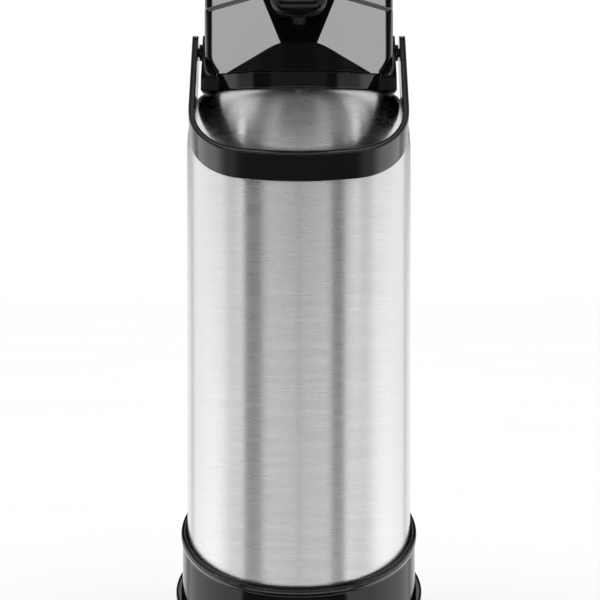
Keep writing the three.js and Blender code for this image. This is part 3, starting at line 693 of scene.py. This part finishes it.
def make_housing():
    def skin(height_of, inset=0.0):
        points = []
        for dx, dy in HEAD_DIRECTIONS:
            reach = head_reach(CAVITY_Y, dx, dy, HEAD_BOTTOM, [])
            for _ in range(3):
                z = height_of(seam_height(reach * dx) - SEAM_GAP)
                limits = [
                    to_plane(CAVITY_Y, dx, dy, 1, 0, corner_half_width(z)),
                    to_plane(CAVITY_Y, dx, dy, -1, 0, corner_half_width(z)),
                ]
                reach = head_reach(CAVITY_Y, dx, dy, z, limits) - inset
            points.append((reach * dx, CAVITY_Y + reach * dy, z))
        return points

    def bore(level):
        return [(CAVITY_RADIUS * dx, CAVITY_Y + CAVITY_RADIUS * dy,
                 level if level else seam_height(CAVITY_RADIUS * dx) - SEAM_GAP)
                for dx, dy in HEAD_DIRECTIONS]

    rings = [skin(lambda top: HEAD_BOTTOM, 0.3), skin(lambda top: HEAD_BOTTOM + 0.1, 0.1)]
    for k in range(27):
        rings.append(skin(lambda top, share=k / 26: HEAD_BOTTOM + 0.3 + share * (top - 0.5 - HEAD_BOTTOM)))
    rings += [skin(lambda top: top - 0.06, 0.06), skin(lambda top: top, 0.2)]
    rings += [bore(None), bore(HEAD_BOTTOM)]
    housing = loft("housing_shell", rings, HEAD_GLOSS, closed=True)
    ahead = [(-80, 290), (RECESS_Y, 290), (RECESS_Y, KEEL_FOOT), (KEEL_Y, KEEL_FOOT), (keel_y(340), 340),
             (-80, 340)]
    boolean(housing, prism("ahead_of_keel", ahead, -60, 60, "X", HEAD_GLOSS), "DIFFERENCE")
    for sign in (1, -1):
        notch = ear_solid("ear_notch", 0.5, HEAD_GLOSS)
        if sign < 0:
            other = mirrored(notch, "ear_notch_left")
            bpy.data.objects.remove(notch)
            notch = other
        boolean(housing, notch, "DIFFERENCE")
    behind = [(46.8, 290), (60, 290), (60, 306.2), (46.8, 306.2)]
    hinge_room = prism("hinge_room", behind, -14.6, 14.6, "X", HEAD_GLOSS)
    boolean(housing, hinge_room, "DIFFERENCE")
    housing.data.set_sharp_from_angle(angle=math.radians(22))
    knuckle = bar_x("lid_knuckle", 3.8, -8, 8, HINGE_Y, HINGE_Z, HEAD_GLOSS, bore=1.8, edge=0.5)
    web = [(43, HINGE_Z - 3), (HINGE_Y - 1, HINGE_Z - 3), (HINGE_Y + 2.5, HINGE_Z + 1),
           (HINGE_Y, HINGE_Z + 6), (43, HINGE_Z + 6)]
    plate = prism("lid_knuckle_web", fillet(web, 0.8), -8, 8, "X", HEAD_GLOSS, edge=0.4)
    place(join("housing", [housing, knuckle, plate]), "head", "head_housing", slot="gloss_black")


def make_cover():
    def skin(z_of, inset=0.0):
        points = []
        for dx, dy in HEAD_DIRECTIONS:
            reach = head_reach(PUMP_Y, dx, dy, SEAM_SIDE, [])
            for _ in range(3):
                z = z_of(reach * dx)
                high = max(z - 337, 0)
                limits = [to_plane(PUMP_Y, dx, dy, 0, -1, 60 - (z - 338) * 21 / 12)]
                for sign in (1, -1):
                    limits.append(to_plane(PUMP_Y, dx, dy, sign, 0, HALF_WIDTH - high * 3 / 7))
                    limits.append(to_plane(PUMP_Y, dx, dy, sign, 0, 45.5 - (z - 344)))
                limits.append(to_plane(PUMP_Y, dx, dy, 0, 1, HEAD_REAR - max(z - 338, 0) * 0.25))
                limits.append(to_plane(PUMP_Y, dx, dy, 0, 1, 48.5 - (z - 344) * 2.5 / 6))
                reach = head_reach(PUMP_Y, dx, dy, z, limits) - inset
            points.append((reach * dx, PUMP_Y + reach * dy, z))
        return points

    def well(radius, z_of):
        return [(radius * dx, PUMP_Y + radius * dy, z_of(radius * dx)) for dx, dy in HEAD_DIRECTIONS]
    rings = [skin(seam_height, 0.2), skin(lambda x: seam_height(x) + 0.06, 0.06)]
    for k in range(25):
        share = k / 24
        rings.append(skin(lambda x, s=share: seam_height(x) + 0.2 + s * (COVER_TOP - 1.2 - seam_height(x))))
    rings += [
        skin(lambda x: COVER_TOP - 0.45, 0.1),
        skin(lambda x: COVER_TOP - 0.12, 0.5),
        skin(lambda x: COVER_TOP, 1.1),
        well(WELL_RADIUS + 0.8, lambda x: COVER_TOP),
        well(WELL_RADIUS + 0.2, lambda x: COVER_TOP - 0.2),
        well(WELL_RADIUS, lambda x: COVER_TOP - 0.8),
        well(WELL_RADIUS, seam_height),
    ]
    cover = loft("cover_shell", rings, HEAD_GLOSS, closed=True)
    slot = prism("lock_slot", [(34, 344), (46.9, 344), (46.9, 360), (34, 360)], -6.4, 6.4, "X", HEAD_GLOSS)
    boolean(cover, slot, "DIFFERENCE")

    top_line = [(-73.5, 337.5), (-72.6, 339.2), (-70, 341.9), (-64, 345.8), (-59, 347.5), (-54, 348.6),
                (-48, 349.4), (-42, 349.75), (-34, 349.8)]

    def interpolate(y):
        for (y0, z0), (y1, z1) in zip(top_line, top_line[1:]):
            if y <= y1:
                return z0 + (z1 - z0) * (y - y0) / (y1 - y0)
        return top_line[-1][1]
    nose = [-62 - 11.45 * math.sin(math.pi / 2 * k / 20) for k in range(20, 0, -1)]
    back = [-62 + 28 * k / 24 for k in range(25)]
    rings = []
    for y in nose + back:
        if y < -62:
            half = max(15.5 * math.sqrt(max(1 - ((y + 62) / 11.5) ** 2, 0)), 0.4)
        else:
            half = 15.5 + (y + 62) * 5.5 / 24
        rise = interpolate(y) - SEAM_MIDDLE
        points = []
        for k in range(49):
            t = math.pi * k / 48
            cosine = math.copysign(abs(math.cos(t)) ** 0.55, math.cos(t))
            points.append((half * cosine, y, SEAM_MIDDLE + rise * math.sin(t) ** 0.55))
        rings.append(points)
    beak = loft("beak", rings, SPOUT_PLASTIC, caps=True)
    channel = [(-71.4, 320), (-20, 320), (-20, 347), (-54, 346.4), (-63.5, 343.4), (-69, 339.4), (-71, 336.5)]
    boolean(beak, prism("tube_channel", channel, -5.6, 5.6, "X", SPOUT_PLASTIC), "DIFFERENCE")
    boolean(cover, prism("tube_channel", channel, -5.6, 5.6, "X", HEAD_GLOSS), "DIFFERENCE")
    for piece in (beak, cover):
        piece.data.set_sharp_from_angle(angle=SHARP)
    place(join("cover", [cover, beak]), "head", "top_cover", slot="gloss_black")


def smooth_line(points, steps=6):
    """Curve through the points, with steps between neighbours."""
    line = []
    for i in range(len(points) - 1):
        p0 = Vector(points[max(i - 1, 0)])
        p1 = Vector(points[i])
        p2 = Vector(points[i + 1])
        p3 = Vector(points[min(i + 2, len(points) - 1)])
        for k in range(steps):
            t = k / steps
            line.append(tuple(0.5 * (2 * p1 + (p2 - p0) * t + (2 * p0 - 5 * p1 + 4 * p2 - p3) * t * t
                                     + (3 * p1 - p0 - 3 * p2 + p3) * t ** 3)))
    line.append(tuple(points[-1]))
    return line


def make_catch():
    """Arched shield over the foot of the keel: a strip of a cone, ending at an arch."""
    arch = smooth_line([(0, CATCH_TOP), (5, 310.6), (10.5, 309.4), (15.4, 307.2), (24.6, 302.1),
                        (36.8, HEAD_BOTTOM)])
    clearance = 0.35
    swing_room = 1.8

    def arch_at(x):
        for (x0, z0), (x1, z1) in zip(arch, arch[1:]):
            if abs(x) <= x1:
                return z0 + (z1 - z0) * (abs(x) - x0) / (x1 - x0)
        return HEAD_BOTTOM
    rings = []
    count = 96
    for k in range(1, count):
        x = 36.8 * (2 * k / count - 1)
        top = arch_at(x)
        height = top - HEAD_BOTTOM
        edge = min(0.5, height * 0.4)
        step = min(KEEL_FOOT - swing_room, HEAD_BOTTOM + 0.85 * height)

        def back(z, keel):
            facet_y = -(facet_offset(z) - math.sin(FACET) * abs(x)) / math.cos(FACET)
            return max(facet_y, keel) - clearance

        def upper_back(z):
            return back(z, keel_y(z))

        def front(z, inset=0.0):
            radius = COLLAR_RADIUS - (z - HEAD_BOTTOM) * CATCH_LEAN - inset
            return min(-math.sqrt(radius ** 2 - x * x), back(z, RECESS_Y) - 0.05)
        levels = [HEAD_BOTTOM + edge + (height - 2 * edge) * j / 10 for j in range(11)]
        points = [(x, back(HEAD_BOTTOM, RECESS_Y), HEAD_BOTTOM), (x, front(HEAD_BOTTOM, edge), HEAD_BOTTOM)]
        points += [(x, front(HEAD_BOTTOM + edge * 0.3, edge * 0.3), HEAD_BOTTOM + edge * 0.3)]
        points += [(x, front(z), z) for z in levels]
        points += [(x, front(top - edge * 0.3, edge * 0.3), top - edge * 0.3), (x, front(top, edge), top)]
        points += [(x, upper_back(top), top), (x, upper_back(step), step), (x, back(step, RECESS_Y), step)]
        rings.append(points)
    place(loft("catch_shield", rings, CATCH_PLASTIC, caps=True), "catch", "front_catch", slot="gloss_black")


def make_nozzle():
    chin = smooth_line([(4.4, 320.05), (6, 320.3), (10, 322), (12.8, 325), (14, 329), (14.2, 334)])
    profile = [(3.6, 334.5), (3.6, 320.6), *chin, (13.9, 334.5)]
    nozzle = revolve("nozzle_chin", profile, SPOUT_PLASTIC, 96)
    squash = Matrix.Translation((0, OUTLET_Y * MM, 0)) @ Matrix.Scale(0.493, 4, (0, 1, 0))
    nozzle.data.transform(squash)
    place(nozzle, "head", "spout_nozzle", slot="gloss_black")


def make_button():
    low = 337.0
    inner = BUTTON_RADIUS - 2.2
    crown = smooth_line([(BUTTON_RADIUS, 350.4), (29.4, 351.8), (28, 352.9), (24, 354.4), (12, 356.3),
                         (0.01, 357)])
    profile = [(0.01, 336.6), (6.6, 336.6), (7, 337), (7, 351.2), (24, 350), (inner, 347.6), (inner, low),
               (BUTTON_RADIUS - 0.3, low), (BUTTON_RADIUS, low + 0.4), *crown]
    button = revolve("button_cap", profile, HEAD_GLOSS, 160, closed=False)
    button.data.transform(Matrix.Translation((0, PUMP_Y * MM, 0)))
    tongue_slot = prism("tongue_slot", [(30, 343.6), (40, 343.6), (40, 347.6), (30, 347.6)], -5.2, 5.2, "X",
                        HEAD_GLOSS)
    boolean(button, tongue_slot, "DIFFERENCE")
    place(button, "button", "push_button", slot="gloss_black")


def make_lock():
    block = fillet([(41.4, 344.4), (46.4, 344.4), (46.4, 352.4), (41.4, 352.4)], [0.3, 0.3, 1.4, 1.4])
    thumb = prism("lock_thumb", block, -5.9, 5.9, "X", SATIN, edge=0.8)
    tongue = prism("lock_tongue", fillet([(37.4, 344.4), (42, 344.4), (42, 346.8), (37.4, 346.8)], 0.3),
                   -4.6, 4.6, "X", SATIN, edge=0.3)
    place(join("lock", [thumb, tongue]), "lock", "lock_slider", slot="satin_black")


# ---------------------------------------------------------------- inner parts
def make_inner_parts():
    """Smooth versions of the round parts inside: profiles of [radius, height]."""
    parts = {
        "tube_holder": ("jug", CLEAR, "clear_plastic", 0, 96,
                        [(23.6, 286), (27.2, 286), (27.2, 293), (31.6, 293), (31.6, 294.6), (23.6, 294.6)]),
        "neck_gasket": ("jug", SILICONE, "seal_silicone", 0, 96,
                        [(30.6, 283.5), (32.2, 283.5), (32.2, 292.7), (27.5, 292.7), (27.5, 291.3),
                         (30.6, 291.3)]),
        "dip_tube": ("jug", CLEAR, "clear_plastic", TUBE_Y, 32,
                     [(2.9, 40), (4.2, 40), (4.2, 296.6), (2.9, 296.6)]),
        "stopper_gasket": ("head", SILICONE, "seal_silicone", 0, 96,
                           [(32.8, 293.3), (35.5, 293.3), (35.5, 294.7), (32.8, 294.7)]),
        "tube_seal": ("head", SILICONE, "seal_silicone", TUBE_Y, 48,
                      [(4.5, 295), (6.8, 295), (6.8, 299), (4.5, 299)]),
        "turntable_foot": ("foot", SATIN, "satin_black", 0, 160,
                           [(0.01, 1.8), (46, 1.8), (46, 1.2), (55, 1.2), (56, 2.2), (56, 4.6), (6, 4.6),
                            (6, 10.2), (0.01, 10.2)]),
        "foot_pad": ("foot", RUBBER, "pad_rubber", 0, 160,
                     [(0.01, 0), (45.6, 0), (45.6, 1.5), (0.01, 1.5)]),
    }
    for node, (body, finish, slot, shift_y, facets, outline) in parts.items():
        profile = fillet(outline, [0 if r < 0.1 else 0.35 for r, _ in outline], 2)
        piece = revolve(f"{node}_turned", profile, finish, facets)
        piece.data.transform(Matrix.Translation((0, shift_y * MM, 0)))
        if node == "tube_holder":
            boss = [(4.5, 286), (6, 286), (6, 294.6), (4.5, 294.6)]
            socket = revolve("tube_boss", fillet(boss, 0.35, 2), finish, 32)
            socket.data.transform(Matrix.Translation((0, TUBE_Y * MM, 0)))
            piece = join(f"{node}_turned", [piece, socket])
        place(piece, body, node, slot=slot)


def make_pump_spring_and_bellows():
    """The bellows sleeve and a copy of the return spring, the two pieces that shorten as the button goes
    down, built here at their rest length only.
    """
    bottom, top, folds, radius, travel = 299.4, 333.0, 5, 22.0, 18.0
    fold = (top - bottom) / folds
    outside = [(radius if i % 2 else radius - 3.4, bottom + i * fold / 2) for i in range(2 * folds + 1)]
    inside = [(r - 1.2, z) for r, z in reversed(outside)]
    sleeve = revolve("bellows_sleeve", fillet(outside + inside, 0.3, 2), RUBBER, 96)
    sleeve.data.transform(Matrix.Translation((0, PUMP_Y * MM, 0)))
    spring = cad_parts["return_spring"]
    coil = bpy.data.objects.new("spring_coil", spring.data.copy())
    coil.matrix_world = spring.matrix_world.copy()
    bpy.context.scene.collection.objects.link(coil)
    for piece, node, slot in ((sleeve, "bellows", "pad_rubber"), (coil, "return_spring", "pin_steel")):
        place(piece, "head", node, slot=slot)
        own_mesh(piece)


# ---------------------------------------------------------------- studio
def maths(tree, operation, first, second=None):
    node = add_node(tree, "ShaderNodeMath", operation=operation)
    for socket, value in zip(node.inputs, (first, second)):
        if value is None:
            continue
        if isinstance(value, (int, float)):
            socket.default_value = value
        else:
            tree.links.new(value, socket)
    return node.outputs[0]


def step_up(tree, value, at, soft):
    """Nought below a value and one above it, with a soft change between."""
    node = add_node(tree, "ShaderNodeMapRange", interpolation_type="SMOOTHSTEP")
    node.inputs["From Min"].default_value = at - soft
    node.inputs["From Max"].default_value = at + soft
    tree.links.new(value, node.inputs["Value"])
    return node.outputs["Result"]


def between(tree, value, low, low_soft, high, high_soft):
    rising_edge = step_up(tree, value, low, low_soft)
    falling_edge = maths(tree, "SUBTRACT", 1, step_up(tree, value, high, high_soft))
    return maths(tree, "MULTIPLY", rising_edge, falling_edge)


TENT_LIGHT = 1.22      # lights every matt surface evenly
ROOM_LIGHT = 0.02      # what a polished surface sees between the panels

# Soft panels of the studio, as polished surfaces see them. Azimuth is in degrees off straight ahead,
# elevation in degrees above the horizon; each range is (low, softness, high, softness). A panel on
# both sides is mirrored.
PANELS = [
    # sides, azimuth range, elevation range, strength
    ("left", (1.5, 1.5, 38, 2.5), (-9, 0.5, -1, 3), 1.20),
    ("right", (1.5, 1.5, 33.5, 2.5), (-9, 0.5, -1, 3), 1.20),
    ("both", (-1, 0.5, 34, 3), (-9, 0.5, 60, 10), 0.13),
    ("left", (-1, 0.5, 57, 3), (-9, 0.5, -5, 3), 0.85),
    ("right", (-1, 0.5, 47.5, 3), (-9, 0.5, -5, 3), 0.75),
    ("both", (-1, 0.5, 58, 3), (-34, 4, -19, 3), 1.50),
    ("both", (-1, 0.5, 30, 8), (-46, 5, -38, 4), 0.25),
    ("both", (20, 4, 50, 4), (7, 3, 45, 8), 0.22),
    ("left", (57, 3, 80, 5), (-22, 8, 4.5, 2.5), 1.05),
    ("right", (47.5, 3, 80, 5), (-22, 8, 4.5, 2.5), 1.05),
    ("both", (80, 5, 113, 3), (-50, 10, 9, 3), 1.15),
    ("both", (60, 10, 125, 10), (-71, 4, -52, 8), 0.40),
    ("both", (113, 3, 137, 3), (-50, 10, 19, 4), 1.05),
    ("both", (137, 3, 147, 3), (-50, 10, 19, 4), 0.65),
    ("both", (147, 3, 172, 4), (-50, 10, 3, 4), 1.00),
    ("both", (90, 8, 156, 4), (-50, 10, -13, 1.5), 0.60),
    ("both", (57.5, 1, 65.5, 1), (10.5, 0.8, 15.5, 0.8), 2.95),
    ("left", (50, 4, 84, 3), (19, 4, 48, 8), 0.75),
    ("right", (55, 4, 82, 3), (19, 4, 48, 8), 0.68),
    ("both", (88, 8, 138, 4), (28, 8, 68, 6), 0.80),
    ("both", (171, 2, 182, 1), (-50, 10, 60, 10), 0.9),
    ("both", (-1, 0.5, 182, 1), (82, 5, 95, 1), 1.4),
]


def make_studio():
    floor_material, tree, shader = material("studio_floor", (0.86, 0.86, 0.86), 0.9)
    tree.links.new(colour_ramp(tree, noise(tree, 3), (0.85, 0.85, 0.85), (0.87, 0.87, 0.87)),
                   shader.inputs["Base Color"])
    size = 6000
    corners = [(-size, -size, 0), (size, -size, 0), (size, size, 0), (-size, size, 0)]
    floor = new_object("studio_floor", corners, [(0, 1, 2, 3)], floor_material)
    floor.visible_glossy = False

    world = bpy.data.worlds.new("studio")
    bpy.context.scene.world = world
    world.use_nodes = True
    tree = world.node_tree
    background = tree.nodes["Background"]
    background.inputs["Color"].default_value = (1, 1, 1, 1)
    direction = add_node(tree, "ShaderNodeTexCoord").outputs["Generated"]
    split = add_node(tree, "ShaderNodeSeparateXYZ")
    tree.links.new(direction, split.inputs[0])
    forward = maths(tree, "MULTIPLY", split.outputs["Y"], -1)
    azimuth = maths(tree, "MULTIPLY", maths(tree, "ARCTAN2", split.outputs["X"], forward), 180 / math.pi)
    elevation = maths(tree, "MULTIPLY", maths(tree, "ARCSINE", split.outputs["Z"]), 180 / math.pi)
    facing = {
        "both": maths(tree, "ABSOLUTE", azimuth),
        "right": azimuth,
        "left": maths(tree, "MULTIPLY", azimuth, -1),
    }
    panels = ROOM_LIGHT
    for sides, azimuths, elevations, strength in PANELS:
        across = between(tree, facing[sides], *azimuths)
        upward = between(tree, elevation, *elevations)
        light = maths(tree, "MULTIPLY", maths(tree, "MULTIPLY", across, upward), strength)
        panels = maths(tree, "ADD", light, panels)
    rays = add_node(tree, "ShaderNodeLightPath")
    tent = maths(tree, "MULTIPLY", rays.outputs["Is Diffuse Ray"], TENT_LIGHT)
    polished = maths(tree, "MULTIPLY", rays.outputs["Is Glossy Ray"], panels)
    total = maths(tree, "ADD", maths(tree, "ADD", tent, polished), rays.outputs["Is Camera Ray"])
    tree.links.new(total, background.inputs["Strength"])

    camera_data = bpy.data.cameras.new("camera")
    camera_data.sensor_width = 36
    camera_data.lens = 121.1
    camera = bpy.data.objects.new("camera", camera_data)
    camera.location = (0.0006, -1.05, 0.212)
    camera.rotation_euler = (math.radians(90 - 1.7), 0, 0)
    bpy.context.scene.collection.objects.link(camera)
    bpy.context.scene.camera = camera
    bpy.context.scene.view_settings.view_transform = "Standard"


dress_cad_nodes()
make_studio()
make_casing()
make_base()
make_collar()
make_pivots()
make_bail()
make_housing()
make_cover()
make_catch()
make_nozzle()
make_button()
make_lock()
make_inner_parts()
make_pump_spring_and_bellows()
